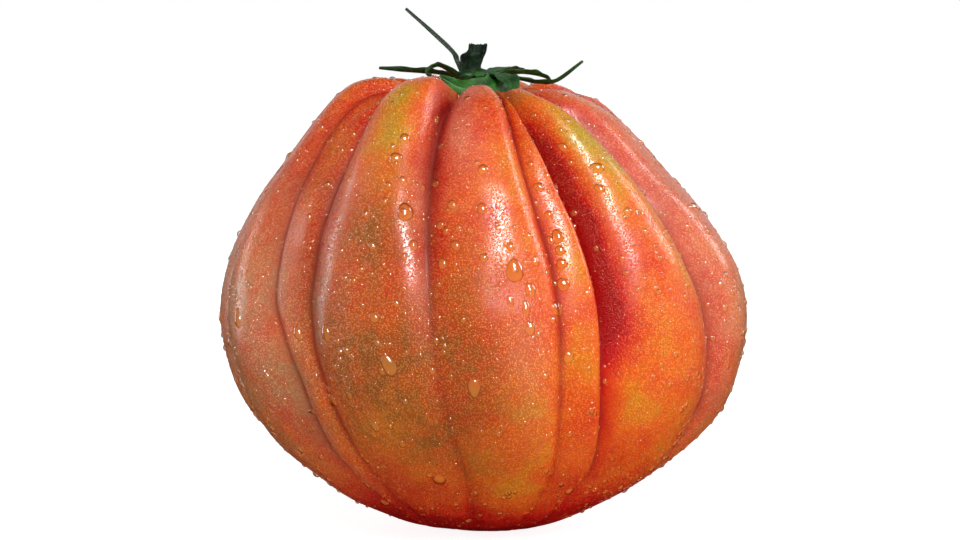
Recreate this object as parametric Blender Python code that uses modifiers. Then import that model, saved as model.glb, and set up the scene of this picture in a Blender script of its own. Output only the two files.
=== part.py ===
"""A ribbed oxheart tomato with its green calyx and a stump of its stem.

Metres, +Z up. The origin is the middle of the small flat spot that the fruit rests on.
Azimuths are counted in degrees from -Y, the front, towards +X.
"""

import math
from typing import NamedTuple

import bmesh
import bpy
from mathutils import Quaternion, Vector

MM = 0.001

# Driving dimensions of the fruit
HALF_WIDTH = 0.046  # the widest crest, from the upright axis
SHOULDER_HEIGHT = 0.078  # the top of a plain rib, above the surface
LEAN = 0.0012  # how far the shoulders stand towards -X
FACES_ACROSS_RIB = 6
FACES_DOWN = 36

# The crest of a plain rib, from the pit to the base: share of HALF_WIDTH, share of SHOULDER_HEIGHT.
# The last points run below the surface, where the fruit is pressed flat.
CREST_PROFILE = (
    (0.000, 0.964),
    (0.130, 0.969),
    (0.250, 0.986),
    (0.380, 1.000),
    (0.554, 0.959),
    (0.739, 0.841),
    (0.900, 0.692),
    (0.998, 0.519),
    (0.978, 0.365),
    (0.848, 0.221),
    (0.600, 0.097),
    (0.304, 0.015),
    (0.000, -0.018),
)
PROFILE_STEPS = len(CREST_PROFILE) - 1

# Where the ribs' four values hold, in steps along the profile: rim, shoulder, waist and underside.
STATIONS = (3.5, 5.0, 6.5, 8.0, 9.5)


class Rib(NamedTuple):
    """One lobe of the fruit and the furrow before it. Each group of five is read at the STATIONS."""

    azimuth: tuple  # of the furrow, in degrees
    depth: tuple  # of the furrow below the profile, in mm
    crest: float  # where the crest lies across the rib, from 0 to 1
    lift: tuple  # of the crest above the profile, in mm
    rise: float  # how steeply the flank leaves this furrow: 2 is a round arc
    fall: float  # the same for the flank that meets the next furrow
    softness: float  # of this furrow's bottom: 0.02 is a sharp crease


RIBS = (
    Rib((-84, -85, -81, -78, -82),
        (2.5, 2.9, 3.0, 2.6, 1.8), 0.50, (0.6, -0.6, 0.1, -0.2, -0.2), 2.0, 2.0, 0.04),
    Rib((-62, -58.5, -53.5, -45.5, -45),
        (1.8, 2.2, 2.6, 3.0, 2.4), 0.60, (-2.4, -2.8, -2.7, -2.2, -1.0), 2.0, 2.0, 0.20),
    Rib((-49, -45, -42, -37, -33),
        (3.0, 3.7, 3.5, 2.6, 1.3), 0.58, (1.0, 0.5, 0.2, 0.0, 0.2), 2.6, 3.9, 0.05),
    Rib((-15, -14, -11, -8.5, -4.5),
        (4.5, 3.6, 1.6, 0.8, 1.0), 0.63, (-0.6, 0.3, 0.4, 0.2, 0.2), 2.4, 3.6, 0.06),
    Rib((12.5, 13.5, 16.5, 16.5, 19),
        (3.0, 2.8, 2.5, 1.4, 0.6), 0.62, (-1.8, -1.5, -1.3, -0.8, -0.2), 1.7, 2.4, 0.02),
    Rib((14, 23, 27.5, 27.5, 32),
        (8.0, 9.3, 7.6, 4.4, 1.6), 0.60, (-1.2, -0.2, 0.1, 0.0, -0.2), 2.2, 2.4, 0.03),
    Rib((35, 50.5, 57.5, 61.5, 66),
        (4.6, 4.8, 4.0, 2.4, 1.3), 0.32, (-1.6, -1.8, 1.2, 0.6, -0.5), 2.2, 2.2, 0.02),
    Rib((86, 89.5, 91, 93, 96),
        (4.0, 4.1, 3.7, 3.0, 2.0), 0.50, (-2.0, -2.2, 1.0, 0.6, -0.5), 2.2, 2.2, 0.03),
    Rib((116, 120, 123, 125, 124),
        (4.0, 4.5, 4.3, 3.4, 2.0), 0.50, (-0.5, -1.2, -0.5, 0.0, 0.0), 2.2, 2.2, 0.03),
    Rib((146, 148.5, 150, 152, 156),
        (3.0, 3.6, 3.5, 2.8, 1.6), 0.50, (-0.2, -0.8, -0.7, -0.6, -0.3), 2.0, 2.0, 0.04),
    Rib((164, 163, 163.5, 166, 171),
        (3.4, 4.2, 4.0, 3.2, 1.8), 0.50, (0.0, 0.0, 0.0, 0.0, 0.0), 2.4, 2.4, 0.03),
    Rib((198, 196.5, 195.5, 195, 194),
        (5.0, 6.0, 5.5, 4.0, 2.1), 0.50, (0.3, 0.1, 0.0, 0.0, 0.0), 2.2, 2.4, 0.03),
    Rib((224, 226.5, 228, 229, 228),
        (4.0, 4.1, 3.6, 2.6, 1.5), 0.50, (0.5, 0.0, 0.0, 0.0, 0.0), 2.2, 2.2, 0.04),
    Rib((248, 248.5, 250, 251, 252),
        (3.4, 4.0, 3.8, 3.0, 1.7), 0.50, (0.6, -0.9, -0.1, 0.0, -0.2), 2.2, 2.2, 0.03),
)

# The calyx: a disc in the pit, a stump of stem on it and sepals round it
CALYX_X = -0.0013
DISC_BOTTOM = 0.0756
DISC_PROFILE = (  # radius, height above DISC_BOTTOM; down the outside from the top
    (0.0000, 0.0043),
    (0.0024, 0.0042),
    (0.0035, 0.0038),
    (0.0038, 0.0033),
    (0.0036, 0.0028),
    (0.0031, 0.0018),
    (0.0029, 0.0000),
    (0.0000, 0.0000),
)
DISC_SIDES = 32
ROOT_RADIUS = 0.0045  # where the sepals start, from the calyx's centre
ROOT_HEIGHT = 0.0788
STEM_POINTS = (  # x, y, z and radius in mm: a thick foot, a knuckle and the broken end
    (-2.10, 0.0, 80.25, 1.85),
    (-2.10, 0.0, 81.20, 1.88),
    (-1.75, 0.0, 82.50, 2.05),
    (-1.25, 0.0, 83.10, 1.70),
    (-1.00, 0.0, 83.70, 1.56),
    (-0.87, 0.0, 84.60, 1.54),
)
SEPAL_THICKNESS = 0.0007
SEPAL_TIP = 0.0004  # half the width of the blunt tip
SEPAL_FOLD = 0.25  # how far the edges stand above the midrib, as a share of the half width
SEPAL_FACES_ALONG = 18
SEPAL_FACES_ACROSS = 4


class Sepal(NamedTuple):
    azimuth: float  # of its root round the disc, in degrees
    width: float  # at its widest, in mm
    roll: float  # how far the blade has turned about its own length at the tip, in degrees
    spine: tuple  # points beyond the root, in mm


SEPALS = {
    "sepal_front": Sepal(
        0, 3.0, -62, ((-0.6, -6.4, 79.2), (-1.6, -7.9, 78.9), (-4.2, -8.2, 78.8), (-6.6, -7.6, 79.7))
    ),
    "sepal_drop": Sepal(46, 3.4, 15, ((4.0, -6.4, 79.4), (5.1, -9.6, 79.0), (4.7, -12.4, 77.8))),
    "sepal_sweep": Sepal(
        80, 2.8, -15, ((6.2, -2.4, 78.8), (9.4, -4.3, 78.4), (12.8, -5.4, 78.8), (17.2, -6.2, 81.9))
    ),
    "sepal_right": Sepal(
        113, 3.2, -20, ((5.8, 2.0, 79.9), (8.8, 2.2, 79.8), (11.2, 1.8, 79.1), (12.0, 1.4, 78.1))
    ),
    "sepal_back_right": Sepal(148, 3.2, 0, ((3.4, 7.6, 79.8), (6.2, 12.2, 79.8), (7.6, 16.6, 79.2))),
    "sepal_back_left": Sepal(184, 3.2, 0, ((-2.2, 8.4, 79.9), (-3.2, 12.8, 80.6), (-4.2, 17.0, 80.4))),
    "sepal_tall": Sepal(
        220, 1.5, 0, ((-4.9, 4.7, 81.0), (-5.5, 4.8, 83.0), (-9.2, 5.3, 86.6), (-13.6, 6.0, 90.5))
    ),
    "sepal_left": Sepal(258, 2.4, 40, ((-8.2, 1.6, 79.8), (-11.4, 2.2, 80.2), (-18.2, 3.2, 80.6))),
    "sepal_curl": Sepal(
        298, 3.0, 0, ((-7.2, -2.8, 81.0), (-8.8, -3.2, 80.9), (-9.5, -3.4, 79.8), (-8.3, -3.6, 79.0))
    ),
}


def smooth_step(value, start, end):
    """0 before start, 1 after end, and an S-curve between them."""
    share = min(max((value - start) / (end - start), 0.0), 1.0)
    return share * share * (3 - 2 * share)


def curve_through(points, place):
    """A point of the Catmull-Rom curve through the points, at a place from 0 to 1, and its direction."""
    steps = len(points) - 1
    along = min(place * steps, steps - 1e-6)
    i = int(along)
    f = along - i
    b, c = points[i], points[i + 1]
    a = points[i - 1] if i else 2 * b - c
    d = points[i + 2] if i + 2 <= steps else 2 * c - b
    point = b + 0.5 * (f * (c - a) + f**2 * (2 * a - 5 * b + 4 * c - d) + f**3 * (3 * b - a - 3 * c + d))
    direction = 0.5 * ((c - a) + 2 * f * (2 * a - 5 * b + 4 * c - d) + 3 * f**2 * (3 * b - a - 3 * c + d))
    return point, direction


def at_stations(values, along):
    """The curve through the values at the STATIONS, read at a place in profile steps."""
    place = (along - STATIONS[0]) / (STATIONS[-1] - STATIONS[0])
    return curve_through(values, min(max(place, 0.0), 1.0))[0]


def flank(share, steepness, softness):
    """1 at the furrow, where share is 0, falling to 0 at the crest, where it is 1."""
    bottom = math.sqrt(1 + softness * softness) - softness
    run = (math.sqrt(share * share + softness * softness) - softness) / bottom
    return max(1 - run, 0.0) ** steepness


def crest_profile():
    """CREST_PROFILE in metres, with a mirrored point before and after it, so that both poles are level."""
    points = [Vector((r * HALF_WIDTH, z * SHOULDER_HEIGHT)) for r, z in CREST_PROFILE]
    before = Vector((-points[1].x, points[1].y))
    after = Vector((-points[-2].x, points[-2].y))
    return [before, *points, after]


def skin_point(across, down, profile):
    """The point of the skin at a place in ribs round the fruit, and from 0 at the pit to 1 at the base."""
    i = int(across) % len(RIBS)
    rib, following = RIBS[i], RIBS[(i + 1) % len(RIBS)]
    share = across - int(across)
    along = down * PROFILE_STEPS
    fade = smooth_step(along, 0.4, 3.2) * (1 - smooth_step(along, 9.6, 11.6))
    before = flank(min(share / rib.crest, 1), rib.rise, rib.softness)
    after = flank(min((1 - share) / (1 - rib.crest), 1), rib.fall, following.softness)
    furrow = before * max(at_stations(rib.depth, along), 0)
    furrow += after * max(at_stations(following.depth, along), 0)
    bulge = smooth_step(along, 1.0, 3.5) * (1 - smooth_step(along, 9.7, 11.0))
    lift = at_stations(rib.lift, along) * (1 - before) * (1 - after)
    inward = (furrow * fade - lift * bulge) * MM

    point, direction = curve_through(profile, (along + 1) / (len(profile) - 1))
    outward = Vector((-direction.y, direction.x)).normalized()
    radius, height = point - inward * outward
    height = max(height, 0.0)
    start = at_stations(rib.azimuth, along)
    end = at_stations(following.azimuth, along)
    if i == len(RIBS) - 1:
        end += 360
    angle = math.radians(start + share * (end - start))
    lean = LEAN * smooth_step(height, 0.25 * SHOULDER_HEIGHT, SHOULDER_HEIGHT)
    return Vector((radius * math.sin(angle) - lean, -radius * math.cos(angle), height))


def principled(name, color, roughness):
    material = bpy.data.materials.new(name)
    material.use_nodes = True
    shader = material.node_tree.nodes["Principled BSDF"]
    shader.inputs["Base Color"].default_value = (*color, 1)
    shader.inputs["Roughness"].default_value = roughness
    shader.inputs["Metallic"].default_value = 0.0
    material.diffuse_color = (*color, 1)
    return material


def add_mesh(name, shape, material):
    mesh = bpy.data.meshes.new(name)
    shape.to_mesh(mesh)
    shape.free()
    mesh.shade_smooth()
    mesh.materials.append(material)
    piece = bpy.data.objects.new(name, mesh)
    tomato.objects.link(piece)
    return piece


def build_fruit(material):
    """A sphere whose meridians are gathered rib by rib and moved onto the skin."""
    profile = crest_profile()
    shape = bmesh.new()
    bmesh.ops.create_uvsphere(
        shape, u_segments=FACES_ACROSS_RIB * len(RIBS), v_segments=FACES_DOWN, radius=1
    )
    for vertex in shape.verts:
        turn = math.atan2(vertex.co.x, -vertex.co.y) / math.tau % 1
        down = math.acos(min(max(vertex.co.z, -1), 1)) / math.pi
        vertex.co = skin_point(turn * len(RIBS), down, profile)
    return add_mesh("fruit", shape, material)


def build_disc(material):
    """The receptacle that the sepals and the stem grow from, turned about its own axis."""
    shape = bmesh.new()
    points = [shape.verts.new((radius, 0, height)) for radius, height in DISC_PROFILE]
    for start, end in zip(points, points[1:]):
        shape.edges.new((start, end))
    disc = add_mesh("calyx_disc", shape, material)
    disc.location = (CALYX_X, 0, DISC_BOTTOM)
    screw = disc.modifiers.new("turn", "SCREW")
    screw.steps = screw.render_steps = DISC_SIDES
    screw.use_merge_vertices = True
    screw.merge_threshold = 0.00001
    return disc


def build_stem(material):
    """A tube along STEM_POINTS, thick at the foot and the knuckle, with a flat broken end."""
    curve = bpy.data.curves.new("stem", "CURVE")
    curve.dimensions = "3D"
    curve.bevel_depth = MM
    curve.bevel_resolution = 4
    curve.use_fill_caps = True
    spline = curve.splines.new("POLY")
    spline.points.add(len(STEM_POINTS) - 1)
    for point, (x, y, z, radius) in zip(spline.points, STEM_POINTS):
        point.co = (x * MM, y * MM, z * MM, 1)
        point.radius = radius
    curve.materials.append(material)
    stem = bpy.data.objects.new("stem", curve)
    tomato.objects.link(stem)
    return stem


def sepal_frames(sepal):
    """For each row of the blade: its place along the length, its point, and the ways across and out."""
    angle = math.radians(sepal.azimuth)
    outward = Vector((math.sin(angle), -math.cos(angle), 0))
    root = Vector((CALYX_X, 0, ROOT_HEIGHT)) + ROOT_RADIUS * outward
    points = [root] + [Vector(point) * MM for point in sepal.spine]
    across = Vector((-outward.y, outward.x, 0))
    frames = []
    last = outward
    for row in range(SEPAL_FACES_ALONG + 1):
        place = row / SEPAL_FACES_ALONG
        point, direction = curve_through(points, place)
        direction.normalize()
        across = last.rotation_difference(direction) @ across
        last = direction
        turned = Quaternion(direction, math.radians(sepal.roll * place)) @ across
        frames.append((place, point, turned, direction.cross(turned)))
    return frames


def build_sepal(name, sepal, material):
    """A narrow blade, widest near its root, folded a little along its midrib."""
    frames = sepal_frames(sepal)
    shape = bmesh.new()
    bmesh.ops.create_grid(
        shape, x_segments=SEPAL_FACES_ALONG, y_segments=SEPAL_FACES_ACROSS, size=0.5
    )
    for vertex in shape.verts:
        place, point, across, out = frames[round((vertex.co.x + 0.5) * SEPAL_FACES_ALONG)]
        side = 2 * vertex.co.y
        taper = (1 - 0.5 * (1 - place) ** 5) * (1 - place**1.6) ** 0.8
        half_width = SEPAL_TIP + (sepal.width * MM / 2 - SEPAL_TIP) * taper
        vertex.co = point + half_width * (side * across + SEPAL_FOLD * side * side * out)
    blade = add_mesh(name, shape, material)
    wall = blade.modifiers.new("thickness", "SOLIDIFY")
    wall.thickness = SEPAL_THICKNESS
    wall.offset = 0
    return blade


for leftover in list(bpy.data.objects):
    bpy.data.objects.remove(leftover)
tomato = bpy.data.collections.new("tomato")
bpy.context.scene.collection.children.link(tomato)

build_fruit(principled("skin", (0.62, 0.13, 0.04), 0.25))
build_disc(principled("disc_green", (0.03, 0.10, 0.02), 0.6))
build_stem(principled("stem_green", (0.02, 0.06, 0.015), 0.65))
for sepal_name, sepal in SEPALS.items():
    build_sepal(sepal_name, sepal, principled(sepal_name + "_green", (0.03, 0.12, 0.02), 0.55))
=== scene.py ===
import math

import bpy
import numpy as np
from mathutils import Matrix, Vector


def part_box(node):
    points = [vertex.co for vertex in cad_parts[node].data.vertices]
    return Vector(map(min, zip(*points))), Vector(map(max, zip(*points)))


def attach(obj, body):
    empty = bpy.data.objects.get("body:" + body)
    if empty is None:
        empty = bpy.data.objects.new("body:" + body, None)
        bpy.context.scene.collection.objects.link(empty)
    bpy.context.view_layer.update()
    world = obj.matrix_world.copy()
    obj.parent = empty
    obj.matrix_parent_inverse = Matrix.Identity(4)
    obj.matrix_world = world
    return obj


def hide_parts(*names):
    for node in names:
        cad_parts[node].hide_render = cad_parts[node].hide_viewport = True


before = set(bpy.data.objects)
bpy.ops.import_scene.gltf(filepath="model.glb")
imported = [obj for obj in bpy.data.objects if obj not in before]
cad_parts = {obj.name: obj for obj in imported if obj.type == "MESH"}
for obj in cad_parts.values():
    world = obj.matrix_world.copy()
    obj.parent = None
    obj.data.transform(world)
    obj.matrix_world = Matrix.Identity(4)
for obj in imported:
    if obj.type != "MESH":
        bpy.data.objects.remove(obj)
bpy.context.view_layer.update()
mm = 0.001

fruitLow, fruitHigh = (np.array(corner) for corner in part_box("fruit"))
discLow, discHigh = (np.array(corner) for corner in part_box("calyx_disc"))
calyxCentre = np.append((discLow + discHigh)[:2] / 2, discHigh[2])  # the middle of the disc's top
print("frame loaded, fruit", np.round((fruitHigh - fruitLow) / mm, 1), "mm")


# 0 before start, 1 after end, and an S-curve between them
def smoothStep(value, start, end):
    share = np.clip((value - start) / (end - start), 0, 1)
    return share * share * (3 - 2 * share)


# the Catmull-Rom curve from b to c, a share f of the way along, with a before them and d after:
# b plus half of f (c - a) + f^2 (2a - 5b + 4c - d) + f^3 (3b - a - 3c + d)
def catmullRom(a, b, c, d, f):
    square = f**2 * (2 * a - 5 * b + 4 * c - d)
    cube = f**3 * (3 * b - a - 3 * c + d)
    return b + 0.5 * (f * (c - a) + square + cube)


# Catmull-Rom curve through the points, read at places from 0 to 1: the points and the directions there
def curveThrough(points, places):
    points = np.asarray(points, float)
    padded = np.vstack([2 * points[0] - points[1], points, 2 * points[-1] - points[-2]])
    along = np.clip(places * (len(points) - 1), 0, len(points) - 1 - 1e-6)
    i = along.astype(int)
    f = (along - i)[..., None]
    a, b, c, d = (padded[i + step] for step in range(4))
    spot = catmullRom(a, b, c, d, f)
    way = 0.5 * ((c - a) + 2 * f * (2 * a - 5 * b + 4 * c - d) + 3 * f**2 * (3 * b - a - 3 * c + d))
    return spot, way


def unit(vectors):
    return vectors / np.maximum(np.linalg.norm(vectors, axis=-1, keepdims=True), 1e-12)


# a few dozen sine waves in random directions, added up: a smooth noise of about -1 to 1
def softNoise(points, wavelength, seed, waves=24):
    rng = np.random.default_rng(seed)
    ways = unit(rng.normal(size=(waves, 3))) * (2 * math.pi / wavelength)
    ways *= rng.uniform(0.6, 1.6, (waves, 1))
    phases = rng.uniform(0, 2 * math.pi, waves)
    return np.sin(points @ ways.T + phases).sum(-1) / math.sqrt(waves)


# four-cornered faces between the points of a grid, in rows, with the last column joined to the first
def gridFaces(rows, columns):
    left = np.arange(rows * columns).reshape(rows, columns)
    right = np.roll(left, -1, 1)
    return np.stack([left[:-1], left[1:], right[1:], right[:-1]], -1).reshape(-1, 4)


# a ring of triangles from a pole to a closed ring of points
def fanFaces(pole, ring, turned=False):
    following = np.roll(ring, -1)
    first, second = (following, ring) if turned else (ring, following)
    return np.stack([np.full_like(ring, pole), first, second], -1)


# puts points, faces of three or four corners and values per point into a mesh that rides on the tomato
def addPiece(name, points, faceSets, material, values=None):
    mesh = bpy.data.meshes.new(name)
    corners = np.concatenate([faces.ravel() for faces in faceSets])
    counts = np.concatenate([np.full(len(faces), faces.shape[1]) for faces in faceSets])
    mesh.vertices.add(len(points))
    mesh.vertices.foreach_set("co", points.astype(np.float32).ravel())
    mesh.loops.add(len(corners))
    mesh.loops.foreach_set("vertex_index", corners.astype(np.int32))
    mesh.polygons.add(len(counts))
    mesh.polygons.foreach_set("loop_start", (np.cumsum(counts) - counts).astype(np.int32))
    mesh.polygons.foreach_set("loop_total", counts.astype(np.int32))
    for label, numbers in (values or {}).items():
        layer = mesh.attributes.new(label, "FLOAT", "POINT")
        layer.data.foreach_set("value", np.asarray(numbers, np.float32).ravel())
    mesh.update(calc_edges=True)
    mesh.validate()
    mesh.shade_smooth()
    mesh.materials.append(material)
    piece = bpy.data.objects.new(name, mesh)
    bpy.context.scene.collection.objects.link(piece)
    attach(piece, "root")
    return piece


# a tube of rows x columns points, its ends closed by poles: the middles of the end rings unless given
def closedTube(grid, poles=None):
    rows, columns = grid.shape[:2]
    if poles is None:
        poles = grid[0].mean(0), grid[-1].mean(0)
    points = np.vstack([grid.reshape(-1, 3), *poles])
    ring = np.arange(columns)
    start, end = rows * columns, rows * columns + 1
    faces = [
        gridFaces(rows, columns),
        fanFaces(start, ring),
        fanFaces(end, ring + (rows - 1) * columns, turned=True),
    ]
    return points, faces


def node(tree, kind, inputs=None, **settings):
    made = tree.nodes.new(kind)
    for key, value in settings.items():
        setattr(made, key, value)
    for key, value in (inputs or {}).items():
        if isinstance(value, bpy.types.NodeSocket):
            tree.links.new(value, made.inputs[key])
        else:
            made.inputs[key].default_value = value
    return made


def calculate(tree, operation, first, second=0.5, clamp=False):
    settings = {"operation": operation, "use_clamp": clamp}
    return node(tree, "ShaderNodeMath", {0: first, 1: second}, **settings).outputs[0]


def mixColours(tree, share, first, second, blend="MIX"):
    settings = {"data_type": "RGBA", "blend_type": blend}
    return node(tree, "ShaderNodeMix", {0: share, 6: first, 7: second}, **settings).outputs[2]


def rangeOf(tree, value, low, high, start=0.0, end=1.0):
    inputs = {"Value": value, "From Min": low, "From Max": high, "To Min": start, "To Max": end}
    return node(tree, "ShaderNodeMapRange", inputs, interpolation_type="SMOOTHSTEP").outputs[0]


def noiseOn(tree, place, scale, detail=2.0, roughness=0.5):
    inputs = {"Vector": place, "Scale": scale, "Detail": detail, "Roughness": roughness}
    return node(tree, "ShaderNodeTexNoise", inputs).outputs["Fac"]


def valueOf(tree, label):
    return node(tree, "ShaderNodeAttribute", attribute_name=label).outputs["Fac"]


def newMaterial(name, **sockets):
    material = bpy.data.materials.new(name)
    material.use_nodes = True
    shader = material.node_tree.nodes["Principled BSDF"]
    for label, value in sockets.items():
        shader.inputs[label.replace("_", " ")].default_value = value
    return material, material.node_tree, shader


# round beads over a surface, one to a cell with some cells left empty: each bead's height is the half
# circle sqrt(1 - (distance / size)^2), and its mask is 1 in the middle
def makeBeadsGroup():
    tree = bpy.data.node_groups.new("beads", "ShaderNodeTree")
    for label, kind in (("Vector", "Vector"), ("Scale", "Float"), ("Size", "Float"), ("Share", "Float")):
        tree.interface.new_socket(label, in_out="INPUT", socket_type="NodeSocket" + kind)
    for label in ("Height", "Mask"):
        tree.interface.new_socket(label, in_out="OUTPUT", socket_type="NodeSocketFloat")
    given = tree.nodes.new("NodeGroupInput").outputs
    cells = node(tree, "ShaderNodeTexVoronoi", {"Vector": given["Vector"], "Scale": given["Scale"]})
    chance = node(tree, "ShaderNodeSeparateColor", {0: cells.outputs["Color"]}).outputs[0]
    kept = calculate(tree, "LESS_THAN", chance, given["Share"])
    ratio = calculate(tree, "DIVIDE", cells.outputs["Distance"], given["Size"], clamp=True)
    square = calculate(tree, "MULTIPLY", ratio, ratio)
    height = calculate(tree, "SQRT", calculate(tree, "SUBTRACT", 1.0, square))
    result = tree.nodes.new("NodeGroupOutput")
    tree.links.new(calculate(tree, "MULTIPLY", kept, height), result.inputs["Height"])
    mask = calculate(tree, "MULTIPLY", kept, rangeOf(tree, ratio, 0.9, 0.3))
    tree.links.new(mask, result.inputs["Mask"])
    return tree


# uneven growth at two scales, for leaf and stalk: a colour share and a height
def makeGrowthGroup():
    tree = bpy.data.node_groups.new("growth", "ShaderNodeTree")
    for label, kind in (("Vector", "Vector"), ("Scale", "Float")):
        tree.interface.new_socket(label, in_out="INPUT", socket_type="NodeSocket" + kind)
    for label in ("Share", "Height"):
        tree.interface.new_socket(label, in_out="OUTPUT", socket_type="NodeSocketFloat")
    given = tree.nodes.new("NodeGroupInput").outputs
    broad = noiseOn(tree, given["Vector"], given["Scale"], 4.0, 0.6)
    finer = calculate(tree, "MULTIPLY", given["Scale"], 6.0)
    fine = noiseOn(tree, given["Vector"], finer, 4.0, 0.6)
    result = tree.nodes.new("NodeGroupOutput")
    tree.links.new(rangeOf(tree, broad, 0.3, 0.7), result.inputs["Share"])
    tree.links.new(calculate(tree, "ADD", broad, fine), result.inputs["Height"])
    return tree


beadsGroup = makeBeadsGroup()
growthGroup = makeGrowthGroup()


def beadsOn(tree, place, scale, size, share):
    inputs = {"Vector": place, "Scale": scale, "Size": size, "Share": share}
    return node(tree, "ShaderNodeGroup", inputs, node_tree=beadsGroup).outputs


def growthOn(tree, place, scale):
    inputs = {"Vector": place, "Scale": scale}
    return node(tree, "ShaderNodeGroup", inputs, node_tree=growthGroup).outputs


# The fruit. A rib has the azimuth of the furrow before it in degrees and that furrow's depth in mm,
# at five stations down the fruit; where its crest lies across it; the crest's lift at the stations;
# how steeply its two flanks rise and fall; and the softness of the furrow's bottom.
tomato = {
    "halfWidth": 46.0,  # in mm, as are the next two
    "shoulderHeight": 78.0,
    "lean": 1.2,  # how far the shoulders sit to the left of the base
    "profile": [  # a crest from the pit to the base: shares of the half width and of the height
        (0, 0.964), (0.13, 0.969), (0.25, 0.986), (0.38, 1.0), (0.554, 0.959), (0.739, 0.841),
        (0.9, 0.692), (0.998, 0.519), (0.978, 0.365), (0.848, 0.221), (0.6, 0.097), (0.304, 0.015),
        (0, -0.018),
    ],
    "stations": (3.5, 5.0, 6.5, 8.0, 9.5),
    "ribs": [
        ((-84, -85, -81, -78, -82), (2.5, 2.9, 3.0, 2.6, 1.8), 0.50,
         (0.6, -0.6, 0.1, -0.2, -0.2), 2.0, 2.0, 0.04),
        ((-62, -58.5, -53.5, -45.5, -45), (1.8, 2.2, 2.6, 3.0, 2.4), 0.60,
         (-2.4, -2.8, -2.7, -2.2, -1.0), 2.0, 2.0, 0.20),
        ((-49, -45, -42, -37, -33), (3.0, 3.7, 3.5, 2.6, 1.3), 0.58,
         (1.0, 0.5, 0.2, 0.0, 0.2), 2.6, 3.9, 0.05),
        ((-15, -14, -11, -8.5, -4.5), (4.5, 3.6, 1.6, 0.8, 1.0), 0.63,
         (-0.6, 0.3, 0.4, 0.2, 0.2), 2.4, 3.6, 0.06),
        ((12.5, 13.5, 16.5, 16.5, 19), (3.0, 2.8, 2.5, 1.4, 0.6), 0.62,
         (-1.8, -1.5, -1.3, -0.8, -0.2), 1.7, 2.4, 0.02),
        ((14, 23, 27.5, 27.5, 32), (8.0, 9.3, 7.6, 4.4, 1.6), 0.60,
         (-1.2, -0.2, 0.1, 0.0, -0.2), 2.2, 2.4, 0.03),
        ((35, 50.5, 57.5, 61.5, 66), (4.6, 4.8, 4.0, 2.4, 1.3), 0.32,
         (-1.6, -1.8, 1.2, 0.6, -0.5), 2.2, 2.2, 0.02),
        ((86, 89.5, 91, 93, 96), (4.0, 4.1, 3.7, 3.0, 2.0), 0.50,
         (-2.0, -2.2, 1.0, 0.6, -0.5), 2.2, 2.2, 0.03),
        ((116, 120, 123, 125, 124), (4.0, 4.5, 4.3, 3.4, 2.0), 0.50,
         (-0.5, -1.2, -0.5, 0.0, 0.0), 2.2, 2.2, 0.03),
        ((146, 148.5, 150, 152, 156), (3.0, 3.6, 3.5, 2.8, 1.6), 0.50,
         (-0.2, -0.8, -0.7, -0.6, -0.3), 2.0, 2.0, 0.04),
        ((164, 163, 163.5, 166, 171), (3.4, 4.2, 4.0, 3.2, 1.8), 0.50,
         (0.0, 0.0, 0.0, 0.0, 0.0), 2.4, 2.4, 0.03),
        ((198, 196.5, 195.5, 195, 194), (5.0, 6.0, 5.5, 4.0, 2.1), 0.50,
         (0.3, 0.1, 0.0, 0.0, 0.0), 2.2, 2.4, 0.03),
        ((224, 226.5, 228, 229, 228), (4.0, 4.1, 3.6, 2.6, 1.5), 0.50,
         (0.5, 0.0, 0.0, 0.0, 0.0), 2.2, 2.2, 0.04),
        ((248, 248.5, 250, 251, 252), (3.4, 4.0, 3.8, 3.0, 1.7), 0.50,
         (0.6, -0.9, -0.1, 0.0, -0.2), 2.2, 2.2, 0.03),
    ],
    "lumpSize": 15.0,  # mm between soft lumps in the skin
    "lumpHeight": 0.16,
    "facesAcrossRib": 28,
    "gathering": 0.6,  # how strongly the columns gather at the furrows, from 0 to 1
    "rows": 250,
}
ribCount = len(tomato["ribs"])
ribAzimuths, ribDepths, ribCrests, ribLifts, ribRises, ribFalls, ribSoftness = (
    np.array(column, float) for column in zip(*tomato["ribs"])
)


# the Catmull-Rom curves through every rib's values at the stations, read by rib number and by how far
# along the crest
def throughStations(values):
    ahead = 2 * values[:, :1] - values[:, 1:2]
    beyond = 2 * values[:, -1:] - values[:, -2:-1]
    padded = np.hstack([ahead, values, beyond])
    first, last = tomato["stations"][0], tomato["stations"][-1]
    gaps = len(tomato["stations"]) - 1

    def read(rib, along):
        place = np.clip((along - first) / (last - first) * gaps, 0, gaps - 1e-6)
        i = place.astype(int)
        f = place - i
        a, b, c, d = (padded[rib, i + step] for step in range(4))
        return catmullRom(a, b, c, d, f)

    return read


nextAzimuths = np.vstack([ribAzimuths[1:], ribAzimuths[:1] + 360])
azimuthAt, nextAzimuthAt = throughStations(ribAzimuths), throughStations(nextAzimuths)
depthAt, liftAt = throughStations(ribDepths), throughStations(ribLifts)
steps = len(tomato["profile"]) - 1  # along, down the fruit, runs from 0 to this
crestLine = np.array(tomato["profile"]) * (tomato["halfWidth"], tomato["shoulderHeight"])
mirroredStart, mirroredEnd = crestLine[1] * (-1, 1), crestLine[-2] * (-1, 1)
crestLine = np.vstack([mirroredStart, crestLine, mirroredEnd])


# 1 at a furrow, falling to 0 at the crest by a power of the way left, with a softened bottom
def flank(share, steepness, softness):
    run = (np.sqrt(share**2 + softness**2) - softness) / (np.sqrt(1 + softness**2) - softness)
    return np.clip(1 - run, 0, 1) ** steepness


# how near a place is to the furrows before and after its rib
def furrowsAt(across, down):
    rib = np.floor(across).astype(int) % ribCount
    share = across - np.floor(across)
    following = (rib + 1) % ribCount
    crest = ribCrests[rib]
    before = flank(np.clip(share / crest, 0, 1), ribRises[rib], ribSoftness[rib])
    after = flank(np.clip((1 - share) / (1 - crest), 0, 1), ribFalls[rib], ribSoftness[following])
    return rib, following, share, before, after


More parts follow.
